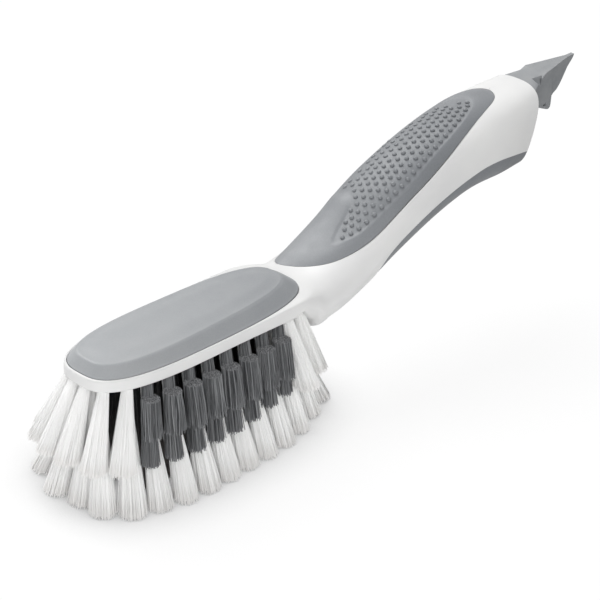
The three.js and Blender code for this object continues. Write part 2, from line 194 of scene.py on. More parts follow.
def makeCamera():
    turn, tilt, roll = (math.radians(view[key]) for key in ("azimuth", "elevation", "roll"))
    back = Vector((math.sin(turn) * math.cos(tilt), -math.cos(turn) * math.cos(tilt), math.sin(tilt)))
    level = Vector((math.cos(turn), math.sin(turn), 0))
    upright = back.cross(level)
    right = level * math.cos(roll) + upright * math.sin(roll)
    up = upright * math.cos(roll) - level * math.sin(roll)
    lens = bpy.data.cameras.new("camera")
    lens.sensor_width = view["sensorWidth"]
    lens.lens = lens.sensor_width * view["focalPixels"] / view["imagePixels"]
    lens.clip_end = view["farthest"]
    camera = bpy.data.objects.new("camera", lens)
    scene.collection.objects.link(camera)
    camera.rotation_euler = Matrix((right, up, back)).transposed().to_euler()
    camera.location = Vector(view["place"]) * mm
    scene.camera = camera


makeCamera()
print("camera made")


# materials

noiseRange = (0.3, 0.7)  # nearly all values of a noise lie between these


def linear(hexColour):
    shares = [int(hexColour[i:i + 2], 16) / 255 for i in (1, 3, 5)]
    return [c / 12.92 if c <= 0.04045 else ((c + 0.055) / 1.055) ** 2.4 for c in shares] + [1]


# adds a node: a socket is linked, a number or a hex colour is set on its input, the rest are settings
def addNode(tree, kind, values=None):
    node = tree.nodes.new(kind)
    for key, value in (values or {}).items():
        if not (isinstance(key, int) or key in node.inputs):
            setattr(node, key, value)
        elif isinstance(value, bpy.types.NodeSocket):
            tree.links.new(value, node.inputs[key])
        else:
            node.inputs[key].default_value = linear(value) if isinstance(value, str) else value
    return node


def newMaterial(name):
    material = bpy.data.materials.new(name)
    material.use_nodes = True
    material.node_tree.nodes.clear()
    return material, material.node_tree


# a soft pattern whose spots are about so many millimetres across
def spots(tree, size, detail=2.0):
    place = addNode(tree, "ShaderNodeTexCoord").outputs["Object"]
    values = {"Vector": place, "Scale": 1 / (size * mm), "Detail": detail}
    return addNode(tree, "ShaderNodeTexNoise", values).outputs["Fac"]


# the same pattern, spread from low to high
def mottle(tree, size, low, high):
    values = {"Value": spots(tree, size), "From Min": noiseRange[0], "From Max": noiseRange[1],
              "To Min": low, "To Max": high}
    return addNode(tree, "ShaderNodeMapRange", values).outputs["Result"]


# share of the way between two places along the brush
def wayAlong(tree, ends):
    place = addNode(tree, "ShaderNodeTexCoord").outputs["Object"]
    x = addNode(tree, "ShaderNodeSeparateXYZ", {"Vector": place}).outputs["X"]
    values = {"Value": x, "From Min": ends[0] * mm, "From Max": ends[1] * mm}
    return addNode(tree, "ShaderNodeMapRange", values).outputs["Result"]


def endMaterial(tree, values):
    surface = addNode(tree, "ShaderNodeBsdfPrincipled", values)
    addNode(tree, "ShaderNodeOutputMaterial", {"Surface": surface.outputs["BSDF"]})


# the gloss and the grain of the moulded materials
def endMoulded(tree, look, colour):
    depth, strength = look["bump"]
    bump = addNode(tree, "ShaderNodeBump", {
        "Height": spots(tree, *look["grain"]), "Distance": depth * mm, "Strength": strength})
    endMaterial(tree, {
        "Base Color": colour, "Roughness": mottle(tree, look["glossSpots"], *look["roughness"]),
        "IOR": look["refraction"], "Normal": bump.outputs["Normal"], **look.get("sheen", {})})


# injection moulded polypropylene, satin: bright, with soft broad highlights and a faint flow mottle
satinWhite = {
    "tones": ("#DCDCDC", "#E4E4E3"),
    "toneSpots": 24,
    "roughness": (0.34, 0.44),
    "glossSpots": 3.5,
    "refraction": 1.49,
    "grain": (0.6, 2),      # spark texture of the mould, drawn coarser: its spots and their detail
    "bump": (0.02, 0.12),   # depth and strength of the grain
}
# glass filled polypropylene of the pick: stiff, and about as matte as the pads
pickGrey = {
    "tones": ("#84878A", "#8E9092"),
    "toneSpots": 6,
    "roughness": (0.44, 0.54),
    "glossSpots": 2,
    "refraction": 1.49,
    "grain": (0.5, 3),      # drawn coarser too
    "bump": (0.03, 0.15),
}


def makePolypropylene(name, look):
    material, tree = newMaterial(name)
    dark, light = look["tones"]
    colour = addNode(tree, "ShaderNodeMix", {
        "data_type": "RGBA", 0: mottle(tree, look["toneSpots"], 0, 1), 6: dark, 7: light})
    endMoulded(tree, look, colour.outputs[2])
    return material


# overmoulded thermoplastic elastomer: matte and dry, with a fine even grain
padGrey = {
    "pale": ("#9C9FA2", "#A6A8AA"),
    "dull": ("#727579", "#7E8185"),
    "paintedShadeSpan": (-50, 110),  # painted shade: from the head's pale pad to the darker grip, between these places, for the lesser light on the grip
    "fineSpots": 0.55,
    "fineShare": 0.45,
    "broadSpots": 18,
    "roughness": (0.42, 0.52),
    "glossSpots": 4,
    "refraction": 1.5,
    "sheen": {"Sheen Weight": 0.06, "Sheen Roughness": 0.5},
    "grain": (0.45, 3),     # the real grain is finer, and this is drawn so that it shows
    "bump": (0.04, 0.2),
}


def makeElastomer(name, look):
    material, tree = newMaterial(name)
    tone = addNode(tree, "ShaderNodeMath", {
        "operation": "MULTIPLY_ADD", 0: mottle(tree, look["fineSpots"], 0, 1), 1: look["fineShare"],
        2: mottle(tree, look["broadSpots"], 0, 1 - look["fineShare"])}).outputs[0]
    pale, dull = (addNode(tree, "ShaderNodeMix", {
        "data_type": "RGBA", 0: tone, 6: dark, 7: light}).outputs[2]
        for dark, light in (look["pale"], look["dull"]))
    # painted shade: along the brush the one elastomer goes from pale to dull, for the grip's shade
    colour = addNode(tree, "ShaderNodeMix", {
        "data_type": "RGBA", 0: wayAlong(tree, look["paintedShadeSpan"]), 6: pale, 7: dull})
    endMoulded(tree, look, colour.outputs[2])
    return material


# drawn nylon filament: each strand has its own tone; from root to cut end its colour changes a little, which
# is painted light and shade
filament = {
    "glossSpots": 1.5,
    "refraction": 1.53,
    "cutRise": 0.8,         # a face whose normal rises more than this is a cut end
}
whiteNylon = {
    "strand": ("#FAFAF9", "#FFFFFF"),
    "end": "#E8E6E4",       # painted shade: towards its end a strand goes this share of the way to this grey, for the shade round the tufts' ends
    "endShare": 0.5,
    "endStart": 0.85,
    "cut": "#FFFFFF",
    "roughness": (0.35, 0.45),
}
greyNylon = {
    "strand": ("#4B4C4F", "#828486"),
    # painted light: towards their ends the grey strands go part of the way to this lighter grey
    "end": "#78797B",
    "endShare": 0.3,
    "endStart": 0.8,
    "cut": "#B4B5B7",
    "roughness": (0.37, 0.47),
}
# the core's strands are dark grey, and their near black is partly painted shade, for the deep shade inside
# the head
darkNylon = {
    "strand": ("#2A2A2B", "#3E3F40"),
    # painted shade: towards their ends the core's strands go most of the way to this warm grey, the tone of
    # white strands in shade
    "end": "#A09894",
    "endShare": 0.9,
    "endStart": 0.3,
    "cut": "#4A4B4C",
    "roughness": (0.4, 0.5),
}


def makeFilament(name, look):
    material, tree = newMaterial(name)
    tone, along = (addNode(tree, "ShaderNodeAttribute", {"attribute_name": key}).outputs["Fac"]
                   for key in ("tone", "along"))
    dark, light = look["strand"]
    strand, cutEnd = (addNode(tree, "ShaderNodeMix", {
        "data_type": "RGBA", 0: tone, 6: dark, 7: pale}).outputs[2] for pale in (light, look["cut"]))
    # painted light and shade: towards its cut end a strand goes part of the way to the end colour
    nearEnd = addNode(tree, "ShaderNodeMapRange", {
        "Value": along, "From Min": look["endStart"], "From Max": 1.0,
        "To Min": 0.0, "To Max": look["endShare"]}).outputs["Result"]
    side = addNode(tree, "ShaderNodeMix", {
        "data_type": "RGBA", 0: nearEnd, 6: strand, 7: look["end"]}).outputs[2]
    looks = addNode(tree, "ShaderNodeNewGeometry").outputs["True Normal"]
    upwards = addNode(tree, "ShaderNodeSeparateXYZ", {"Vector": looks}).outputs["Z"]
    isCut = addNode(tree, "ShaderNodeMath", {
        "operation": "GREATER_THAN", 0: upwards, 1: filament["cutRise"]}).outputs[0]
    colour = addNode(tree, "ShaderNodeMix", {"data_type": "RGBA", 0: isCut, 6: side, 7: cutEnd})
    endMaterial(tree, {
        "Base Color": colour.outputs[2], "IOR": filament["refraction"],
        "Roughness": mottle(tree, filament["glossSpots"], *look["roughness"])})
    return material


polypropylene = makePolypropylene("satin_white_polypropylene", satinWhite)
elastomer = makeElastomer("matte_grey_elastomer", padGrey)
pickPlastic = makePolypropylene("matte_grey_polypropylene", pickGrey)
whiteFilament = makeFilament("white_drawn_nylon", whiteNylon)
greyFilament = makeFilament("grey_drawn_nylon", greyNylon)
coreFilament = makeFilament("dark_drawn_nylon", darkNylon)
print("materials made")


# body: one flowing shape from the head's rim to the butt

padLow, padHigh = nodeBox("head_pad")
bodyLow, bodyHigh = nodeBox("brush_body")

body = {
    "padSeat": 1.6,        # how deep the head pad sits in the rim
    "rimHeight": 5.2,
    "rimBow": 0.7,         # the rim's lower edge is this much higher half way along
    "bowMiddle": -5.0,
    "bowHalf": 38.0,
    "rimTopEdge": 0.8,     # radius of the rim's upper edge
    "rimLowEdge": 0.5,
    "ovalPower": 3.0,
    "fanStart": -33.0,     # slices fan round the head's front from here
    "fanSlices": 40,
    "fanEase": 1.5,        # the fan's slices crowd towards the front
    "legEnds": (40, 66),   # between these the slices stand closer
    "legSlices": (36, 44, 56),
    "buttSlices": 26,
    "plateauInset": 4.9,   # the head's underside is sunk inside its rim
    "plateauDrop": 3.2,
    "plateauEdge": 0.07,
    "plateauEase": 1.0,
    "noseStart": 42.5,     # leaning wall behind the bristles, under the neck
    "noseEnd": 50.4,
    "underPower": 2.4,     # section of the handle's lower half
    "boxyPower": 3.0,      # the same at the neck and at the butt
    "boxyButt": (130, 170),
    "neckIn": (40, 48),
    "neckOut": (72, 112),
    "neckTaper": 0.20,     # the neck narrows downwards, which leaves a soft ridge along its side
    "depth": 32.3,         # handle at the butt
    "halfWidth": 17.0,
    "slabTill": 36.0,      # the flat head turns into the round neck between these
    "roundFrom": 56.0,
    "morphFrom": 150.0,    # from here the slices lean towards the butt's end
    "buttReach": 178.8,
    "buttCrest": 85.3,     # height at which the butt reaches furthest
    "buttSlope": 0.39,
    "buttSoft": 5.0,
    "buttCurl": 0.08,
    "buttRadius": 23.0,
    "buttTaper": 0.11,     # towards the butt the sides lean in, which leaves a soft edge along the top
    "taperSpan": (110, 165),
    "mouthWall": 1.2,
    "mouthDepth": 4.0,
    "columns": 56,
    "smoothAngle": 35,
}
seam = padLow.z + body["padSeat"]
headEnd = padHigh.x
handleReach = bodyHigh.x - headEnd
handleRise = bodyHigh.z - seam
rimLength = -bodyLow.x
rimWidth = bodyHigh.y
rimBottom = seam - body["rimHeight"]

# distance behind the head's end, height of the top over the seam, depth, half width and the section's power
headStations = [
    (-50, 0.0, 5.2, 18.9, 7.0),
    (-10, -0.1, 5.1, 18.3, 6.0),
    (-4, -0.3, 5.3, 17.9, 4.5),
    (-1, -0.3, 10.7, 17.8, 3.6),
]
# the same for the handle, as shares of its reach, rise, depth and half width
handleStations = [
    (0.023, -0.005, 0.580, 1.053, 3.1),
    (0.068, 0.020, 0.598, 1.050, 2.7),
    (0.122, 0.081, 0.632, 1.055, 2.5),
    (0.228, 0.264, 0.715, 1.040, 2.4),
    (0.350, 0.543, 0.850, 1.015, 2.4),
    (0.502, 0.761, 0.886, 1.005, 2.4),
    (0.654, 0.893, 0.892, 1.012, 2.7),
    (0.806, 0.959, 0.948, 0.990, 3.3),
    (0.973, 0.983, 0.980, 0.865, 3.8),
    (1.141, 0.992, 1.005, 0.770, 3.8),
]
stations = np.array(
    [(headEnd + at, seam + top, depth, half, power) for at, top, depth, half, power in headStations]
    + [(headEnd + along * handleReach, seam + top * handleRise, depth * body["depth"],
        half * body["halfWidth"], power) for along, top, depth, half, power in handleStations])
secants = (stations[1:, 1:] - stations[:-1, 1:]) / (stations[1:, :1] - stations[:-1, :1])
slopes = np.vstack([secants[:1], (secants[1:] + secants[:-1]) / 2, secants[-1:]])


# top, bottom, half width and power of the section at x
def section(x):
    x = max(x, stations[0, 0])
    i = int(np.clip(np.searchsorted(stations[:, 0], x) - 1, 0, len(stations) - 2))
    run = stations[i + 1, 0] - stations[i, 0]
    t = (x - stations[i, 0]) / run
    top, depth, half, power = (
        stations[i, 1:] * (1 + 2 * t) * (1 - t) ** 2 + slopes[i] * run * t * (1 - t) ** 2
        + stations[i + 1, 1:] * t * t * (3 - 2 * t) + slopes[i + 1] * run * t * t * (t - 1))
    bottom = top - depth
    if x < body["noseEnd"]:
        lean = max(0.0, (x - body["noseStart"]) / (body["noseEnd"] - body["noseStart"]))
        bow = max(0.0, 1 - ((x - body["bowMiddle"]) / body["bowHalf"]) ** 2)
        bottom = blend(rimBottom + body["rimBow"] * bow, section(body["noseEnd"])[1], lean)
    return top, bottom, half, power


# taper of the section's upper half
def upperTaper(x):
    return body["buttTaper"] * span(x, body["taperSpan"])


# power and taper of the section's lower half
def lowerHalf(x):
    neck = span(x, body["neckIn"]) * (1 - span(x, body["neckOut"]))
    boxy = max(neck, span(x, body["boxyButt"]))
    return blend(body["underPower"], body["boxyPower"], boxy), body["neckTaper"] * neck


# outline of an oval with flat sides, in plan
def ovalPoint(length, width, angle, power):
    return length * signedPower(math.cos(angle), power), width * signedPower(math.sin(angle), power)


def ovalHalfWidth(length, width, x, power):
    return width * max(0.0, 1 - abs(x / length) ** power) ** (1 / power)


# x of the butt's end surface, which leans below its crest, turns back above it and is round in plan
def buttX(y, z):
    radius, soft = body["buttRadius"], body["buttSoft"]
    below = body["buttCrest"] - z
    if below > 0:
        lean = body["buttSlope"] * (math.hypot(below, soft) - soft)
    else:
        lean = body["buttCurl"] * below * below
    return body["buttReach"] - lean - radius + math.sqrt(max(radius * radius - y * y, 0))


# half a section from the top's middle round the side to the bottom's middle: share of reach, and z
def halfProfile(v, reach, top, bottom, upperHalf, lower, roundShare):
    middle, half = (top + bottom) / 2, (top - bottom) / 2
    upper = v < 0.5
    power, taper = upperHalf if upper else lower
    angle = math.pi * (0.5 - v)
    share = signedPower(math.sin(angle), power)
    roundY = abs(math.cos(angle)) ** (2 / power) * (1 - taper * abs(share))
    roundZ = middle + half * share
    radius = body["rimTopEdge"] if upper else body["rimLowEdge"]
    t = 2 * (v if upper else 1 - v)
    flat, arc = 0.42, 0.64  # the flat takes this share of the points, and its edge the next ones
    if t < flat:
        y, z = (reach - radius) * t / flat, half
    elif t < arc:
        turn = math.pi / 2 * (t - flat) / (arc - flat)
        y, z = reach - radius + radius * math.sin(turn), half - radius + radius * math.cos(turn)
    else:
        y, z = reach, (half - radius) * (1 - t) / (1 - arc)
    slabZ = middle + (z if upper else -z)
    return blend(y / reach, roundY, roundShare), blend(slabZ, roundZ, roundShare)


# centre x, edge x and edge y of each slice, from the front tip to the butt
def bodySlices():
    start, power, count = body["fanStart"], body["ovalPower"], body["fanSlices"]
    fanEnd = math.acos((-start / rimLength) ** (power / 2))
    slices = []
    for i in range(count):
        x, y = ovalPoint(rimLength, rimWidth, fanEnd * (i / count) ** body["fanEase"], power)
        slices.append((start, -x, y))
    ends = (start, *body["legEnds"], body["morphFrom"])
    for begin, stop, legCount in zip(ends, ends[1:], body["legSlices"]):
        for x in np.linspace(begin, stop, legCount, endpoint=False):
            half = ovalHalfWidth(rimLength, rimWidth, x, power) if x < 0 else section(x)[2]
            slices.append((x, x, half))
    for x in np.linspace(body["morphFrom"], body["buttReach"], body["buttSlices"]):
        slices.append((x, x, section(x)[2]))
    return slices


# how far the head's underside is sunk at a point
def plateauDrop(x, y):
    power, ease = body["ovalPower"], body["plateauEase"]
    length, width = rimLength - body["plateauInset"], rimWidth - body["plateauInset"]
    inside = 1 - (abs(x / length) ** power + abs(y / width) ** power) ** (1 / power)
    rear = span(x, (body["noseStart"] + ease, body["noseStart"] - ease))
    return body["plateauDrop"] * smooth(inside / body["plateauEdge"]) * rear


# how far a slice has turned into the butt's end surface
def buttShare(x):
    return max(0.0, (x - body["morphFrom"]) / (body["buttReach"] - body["morphFrom"]))


def makeBody():
    slices = bodySlices()

    def place(u, v):
        centreX, edgeX, edgeY = slices[round(u * (len(slices) - 1))]
        top, bottom, _, power = section(edgeX)
        roundShare = span(edgeX, (body["slabTill"], body["roundFrom"]))
        width = math.hypot(edgeX - centreX, edgeY)
        upperHalf = power, upperTaper(edgeX)
        out, z = halfProfile(v, width, top, bottom, upperHalf, lowerHalf(edgeX), roundShare)
        x, y = blend(centreX, edgeX, out), -edgeY * out
        if v > 0.5:
            z -= plateauDrop(x, y)
        return x + (buttX(y, z) - body["buttReach"]) * buttShare(edgeX), y, z

    piece = gridPiece("body", len(slices) - 1, body["columns"], place)
    mirrorHalf(piece)
    # the butt's open end is filled, and its mouth is sunk for the pick
    with editing(piece, "DESELECT"):
        bpy.ops.mesh.select_mode(type="EDGE")
        bpy.ops.mesh.select_non_manifold()
        bpy.ops.mesh.edge_face_add()
        bpy.ops.mesh.inset(thickness=body["mouthWall"] * mm)
        bpy.ops.mesh.extrude_region_move(
            TRANSFORM_OT_translate={"value": (-body["mouthDepth"] * mm, 0, 0)})
        bpy.ops.mesh.select_mode(type="VERT")
    return piece


bodyPiece = makeBody()
print("body made", len(bodyPiece.data.polygons))


# head pad: an oval slab with a slope all round and a nearly flat crown

headPad = {
    "bevel": 3.6,
    "bevelFront": 3.0,     # the slope is narrow in front and wide towards the handle
    "bevelRear": 6.0,
    "lift": 0.6,
    "crownRun": 7.2,
    "crownEase": 1.3,
    "footEdge": (0.4, 0.2),  # soft edge round the underside, inwards and upwards
    "edge": 0.35,          # soft edge at the foot of the slope
    "shoulder": 0.4,       # soft edge at the top of the slope, then its fall, run and rise as shares
    "shoulderFall": 0.9,
    "shoulderRun": 2.6,
    "shoulderRise": 1.15,
    "edgeSteps": 4,
    "slopeSteps": 8,
    "shoulderSteps": 6,
    "crownSteps": 14,
    "sideRows": 5,         # rows below the slope, which are alike all round
    "floorGap": 0.1,
    "pocketGap": 0.22,
    "pocketTop": 20.0,
    "pocketCore": 0.5,
    "columns": 192,
    "smoothAngle": 40,
}


# inset from the outline, and height, from the underside's middle up and over to the top's middle
def padProfile():
    width, edge, shoulder = padHigh.y, headPad["edge"], headPad["shoulder"]
    low, slopeTop = padLow.z + headPad["floorGap"], seam + headPad["bevel"] + headPad["lift"]
    footIn, footUp = headPad["footEdge"]
    rows = [(width, low), (width / 2, low), (footIn, low), (0, low + footUp), (0, seam), (0, seam + edge / 2)]
    for t in steps(headPad["edgeSteps"]):
        rows.append((edge * t ** 2, seam + edge * (0.5 + t)))
    start, stop = rows[-1], (headPad["bevel"] - shoulder, slopeTop - shoulder * headPad["shoulderFall"])
    for t in steps(headPad["slopeSteps"]):
        rows.append((blend(start[0], stop[0], t), blend(start[1], stop[1], t)))
    for t in steps(headPad["shoulderSteps"]):
        rise = shoulder * headPad["shoulderRise"] * math.sin(math.pi / 2 * t)
        rows.append((stop[0] + headPad["shoulderRun"] * shoulder * t, stop[1] + rise))
    start = rows[-1]
    for t in steps(headPad["crownSteps"]):
        inset = blend(start[0], width, t ** headPad["crownEase"])
        crown = smooth((inset - start[0]) / headPad["crownRun"])
        rows.append((inset, blend(start[1], padHigh.z + headPad["lift"], crown)))
    return rows


def padOutline(inset, angle):
    return ovalPoint(padHigh.x - inset, padHigh.y - inset, angle, body["ovalPower"])


def makeHeadPad():
    rows = padProfile()

    def place(u, v):
        row = round(u * (len(rows) - 1))
        inset, z = rows[row]
        angle, bevel = 2 * math.pi * v, headPad["bevel"]
        towardsRear = (1 + signedPower(math.cos(angle), body["ovalPower"])) / 2
        wider = blend(headPad["bevelFront"], headPad["bevelRear"], towardsRear) - bevel
        if row >= headPad["sideRows"]:
            inset += wider * min(inset / bevel, (padHigh.y - inset) / (padHigh.y - bevel))
        return *padOutline(inset, angle), z

    piece = gridPiece("head_pad_cover", len(rows) - 1, headPad["columns"], place)
    closeSeams(piece)
    return piece


def padPocket():
    core = padHigh.y - headPad["pocketCore"]
    low, high = padLow.z - headPad["floorGap"], seam + headPad["pocketTop"]
    rows = [(core, low), (-headPad["pocketGap"], low), (-headPad["pocketGap"], high), (core, high)]

    def place(u, v):
        inset, z = rows[round(u * (len(rows) - 1))]
        return *padOutline(inset, 2 * math.pi * v), z

    piece = gridPiece("pad_pocket", len(rows) - 1, headPad["columns"], place)
    closeSeams(piece)
    closeEnds(piece)
    return piece


headPadPiece = makeHeadPad()
cutAway(bodyPiece, padPocket())
finishPiece(headPadPiece, ["head_pad"], elastomer, headPad["smoothAngle"])
print("head pad made")


# grip pad: a skin on the handle's top with a thumb rest and a sunk field of domes

grip = {
    "skin": 1.3,
    "edge": 0.3,
    "edgeAngle": 60,
    "crown": 1.2,          # the pad is fuller inside its edge
    "crownRun": 6.5,
    "fieldSink": 0.45,
    "fieldRun": 0.9,       # width of the step round the field
    "fieldSteps": 8,       # points of the field's curve for each point of its outline
    "nearPoints": 12,      # points of the outline along the field's near edge
    "restLift": 0.45,      # the thumb rest stands up, and rolls down to the field
    "restRoll": 2.4,
    "restAlong": (56, 70),
    "restAcross": (-2, 7),
    "restClear": 3.0,      # it rises over this length from the pad's edge, sooner on the far side
    "restSooner": 0.6,
    "restFar": (7, 12),
    "domeRadius": 0.9,
    "domeRise": 0.5,
    "domeFoot": 0.12,      # how deep a dome is sunk
    "domeTall": (1.2, 0.7),  # domes are lower on the far side
    "domeAcross": (-3, 8),
    "domeSides": 12,
    "domeRings": 8,
    "domePitch": 3.4,
    "domeStart": (0.2, 0.7),  # first dome of even and odd rows, in pitches
    "domeRows": 12,
    "domeClear": 2.4,      # least distance between two domes
    "firstRow": 1.5,
    "rowPitch": 2.8,
    "rowReach": 3.0,       # a row's direction is taken over this length to each side
    "fieldMargin": 1.2,    # domes keep this far from the field's edge, and further on the far side
    "farMargin": 0.05,
    "crowding": 0.4,       # share by which the columns crowd towards the pad's edge
    "rows": 150,
    "columns": 48,
    "smoothAngle": 40,
    "pocketGap": 0.2,
    "pocketDepth": 1.7,
    "pocketTop": 2.5,
    "pocketRows": 60,
    "pocketColumns": 24,
}
# the pad's edge, as x and y
gripOutline = [
    (55, 9.5), (56.6, 3), (61, -3.6), (67, -8.6), (75, -11.9), (83, -13.6), (92, -14.4), (102, -14.4),
    (113, -14), (125, -12.8), (137, -10.5), (150, -7.2), (157, -4.9), (160.6, -2), (162.2, 1.8), (161.2, 5.2),
    (158, 8.5), (150, 11.6), (134, 13.8), (116, 14.8), (90, 15.3), (72, 15.3), (60, 13.8),
]
# the field's edge: its near side, round the butt's end, the far side and back along the thumb rest
fieldOutline = [
    (72, -2.9), (74.2, -5.4), (79.5, -8.3), (86, -10.0), (94, -11.1), (102, -11.3), (110, -10.6),
    (119, -9.6), (129, -8.1), (138.5, -5.9), (146, -3.0), (149.4, -0.4), (150.2, 3.6), (147.5, 7.5),
    (140, 10.5), (128, 12.6), (114, 13.4), (102, 13.6), (93.5, 13.6), (90, 12.2), (89.2, 9.6),
    (88.8, 6.7), (87.6, 3.9), (85.1, 2.0), (81, 0.7), (76, -0.6),
]


# closed smooth curve through the points
def closedCurve(points, pointSteps=12):
    points = np.array(points, float)
    count = len(points)
    curve = []
    for i in range(count):
        a, b, c, d = (points[(i + k) % count] for k in (-1, 0, 1, 2))
        for t in np.arange(pointSteps) / pointSteps:
            curve.append(0.5 * (2 * b + (c - a) * t + (2 * a - 5 * b + 4 * c - d) * t * t
                                + (3 * b - a - 3 * c + d) * t ** 3))
    return np.array(curve)


gripCurve = closedCurve(gripOutline)
fieldCurve = closedCurve(fieldOutline, grip["fieldSteps"])
tiny = 1e-9  # keeps a division from failing


# lowest and highest y of a closed curve at x
def crossing(curve, x):
    a, b = curve, np.roll(curve, -1, axis=0)
    hit = (a[:, 0] - x) * (b[:, 0] - x) <= 0
    run = b[hit, 0] - a[hit, 0]
    t = np.where(np.abs(run) > tiny, (x - a[hit, 0]) / np.where(np.abs(run) > tiny, run, 1), 0)
    y = a[hit, 1] + t * (b[hit, 1] - a[hit, 1])
    return y.min(), y.max()


# distance to a closed curve, more than 0 inside it
def depthInside(curve, x, y):
    a, b = curve, np.roll(curve, -1, axis=0)
    point = np.array((x, y))
    run = b - a
    t = np.clip(((point - a) * run).sum(1) / (run * run).sum(1), 0, 1)
    distance = np.sqrt(((a + run * t[:, None] - point) ** 2).sum(1).min())
    crosses = (a[:, 1] > y) != (b[:, 1] > y)
    where = a[:, 0] + (y - a[:, 1]) * run[:, 0] / np.where(run[:, 1] == 0, tiny, run[:, 1])
    return distance if np.count_nonzero(crosses & (x < where)) % 2 else -distance


# height of the handle's upper surface; where its side is tapered, a few rounds come close enough
def handleTop(x, y):
    top, bottom, half, power = section(x)
    high, taper, rounds = 0.5, upperTaper(x), 8
    widest = 0.999  # a point past the side counts as just inside it
    for _ in range(rounds if taper else 1):
        share = min(abs(y) / half / (1 - taper * high), widest)
        high = (1 - share ** power) ** (1 / power)
    return (top + bottom) / 2 + (top - bottom) / 2 * high


# a point above that surface, square to it
def onHandle(x, y, lift):
    step = 0.05
    slopeX = (handleTop(x + step, y) - handleTop(x - step, y)) / (2 * step)
    slopeY = (handleTop(x, y + step) - handleTop(x, y - step)) / (2 * step)
    outward = Vector((-slopeX, -slopeY, 1)).normalized()
    return Vector((x, y, handleTop(x, y))) + outward * lift


def gripRelief(x, y):
    inside = max(depthInside(gripCurve, x, y), 0)
    crown = grip["crown"] * (1 - (1 - min(inside / grip["crownRun"], 1)) ** 2)
    field = depthInside(fieldCurve, x, y)
    sink = grip["fieldSink"] * smooth(0.5 + field / grip["fieldRun"])
    clear = smooth((inside + grip["restSooner"] * span(y, grip["restFar"])) / grip["restClear"])
    rest = (span(y, grip["restAcross"]) * smooth(-field / grip["restRoll"]) * clear
            * span(x, grip["restAlong"]))
    return crown - sink + grip["restLift"] * rest


def gripPatch(name, grow, relief, rows, columns):
    outward = gripCurve - gripCurve.mean(0)
    grown = gripCurve + grow * outward / np.linalg.norm(outward, axis=1)[:, None]
    nip = 0.01  # the end rows stop just short of the outline's ends
    lowX, highX = grown[:, 0].min() + nip, grown[:, 0].max() - nip

    def place(u, v):
        x = blend(lowX, highX, (1 - math.cos(math.pi * u)) / 2)
        low, high = crossing(grown, x)
        crowded = (1 - math.cos(math.pi * v)) / 2
        y = blend(low, high, crowded * grip["crowding"] + v * (1 - grip["crowding"]))
        return onHandle(x, y, relief(x, y))

    piece = gridPiece(name, rows, columns, place)
    closeSeams(piece, turn=False)
    faceTowards(piece, (0, 0, 1))
    return piece


# rows that follow the field's near edge, one behind the other
def domePlaces():
    edge = fieldCurve[:grip["nearPoints"] * grip["fieldSteps"]]
    walk = np.concatenate([[0], np.cumsum(np.hypot(*np.diff(edge, axis=0).T))])
    pitch, reach = grip["domePitch"], grip["rowReach"]

    def onEdge(at):
        return [np.interp(at, walk, edge[:, k]) for k in (0, 1)]

    places = []
    for row in range(grip["domeRows"]):
        for at in np.arange(pitch * grip["domeStart"][row % 2], walk[-1], pitch):
            (x, y), (aheadX, aheadY), (behindX, behindY) = (onEdge(at + way) for way in (0, reach, -reach))
            runX, runY = aheadX - behindX, aheadY - behindY
            off = (grip["firstRow"] + grip["rowPitch"] * row) / math.hypot(runX, runY)
            x, y = x - runY * off, y + runX * off
            clear = all((x - a) ** 2 + (y - b) ** 2 > grip["domeClear"] ** 2 for a, b in places)
            margin = grip["fieldMargin"] + grip["farMargin"] * max(y, 0)
            if clear and depthInside(fieldCurve, x, y) > margin:
                places.append((x, y))
    return places


def makeDomes():
    deselectAll()
    bpy.ops.mesh.primitive_uv_sphere_add(
        segments=grip["domeSides"], ring_count=grip["domeRings"], radius=grip["domeRadius"] * mm)
    dome = bpy.context.object
    with editing(dome):
        bpy.ops.mesh.bisect(plane_co=(0, 0, -grip["domeFoot"] * mm), plane_no=(0, 0, 1),
                            clear_inner=True, use_fill=True)
        bpy.ops.mesh.select_all(action="SELECT")
        bpy.ops.transform.resize(value=(1, 1, grip["domeRise"] / grip["domeRadius"]))
    domes = []
    for x, y in domePlaces():
        foot = onHandle(x, y, gripRelief(x, y))
        outward = (onHandle(x, y, 1) - onHandle(x, y, 0)).normalized()
        turn = outward.to_track_quat("Z", "Y").to_matrix().to_4x4()
        tall = Matrix.Diagonal((1, 1, blend(*grip["domeTall"], span(y, grip["domeAcross"])), 1))
        copy = dome.copy()
        copy.data = dome.data.copy()
        copy.data.transform(Matrix.Translation(foot * mm) @ turn @ tall)
        scene.collection.objects.link(copy)
        domes.append(copy)
    bpy.data.objects.remove(dome)
    return domes


def makeGripPad():
    piece = gripPatch("grip_cover", 0, gripRelief, grip["rows"], grip["columns"])
    thicken(piece, grip["skin"])
    roundEdges(piece, grip["edge"], grip["edgeAngle"])
    domes = makeDomes()
    makeActive(piece)
    for dome in domes:
        dome.select_set(True)
    bpy.ops.object.join()
    print("domes", len(domes))
    return piece


def gripPocket():
    piece = gripPatch("grip_pocket", grip["pocketGap"], lambda x, y: grip["pocketTop"],
                      grip["pocketRows"], grip["pocketColumns"])
    thicken(piece, grip["pocketTop"] + grip["pocketDepth"])
    return piece


gripPiece = makeGripPad()
cutAway(bodyPiece, gripPocket())
finishPiece(gripPiece, ["grip_pad"], elastomer, grip["smoothAngle"])
print("grip pad made", len(gripPiece.data.polygons))


# lower pad: a skin under the handle, from a point behind the neck to the butt

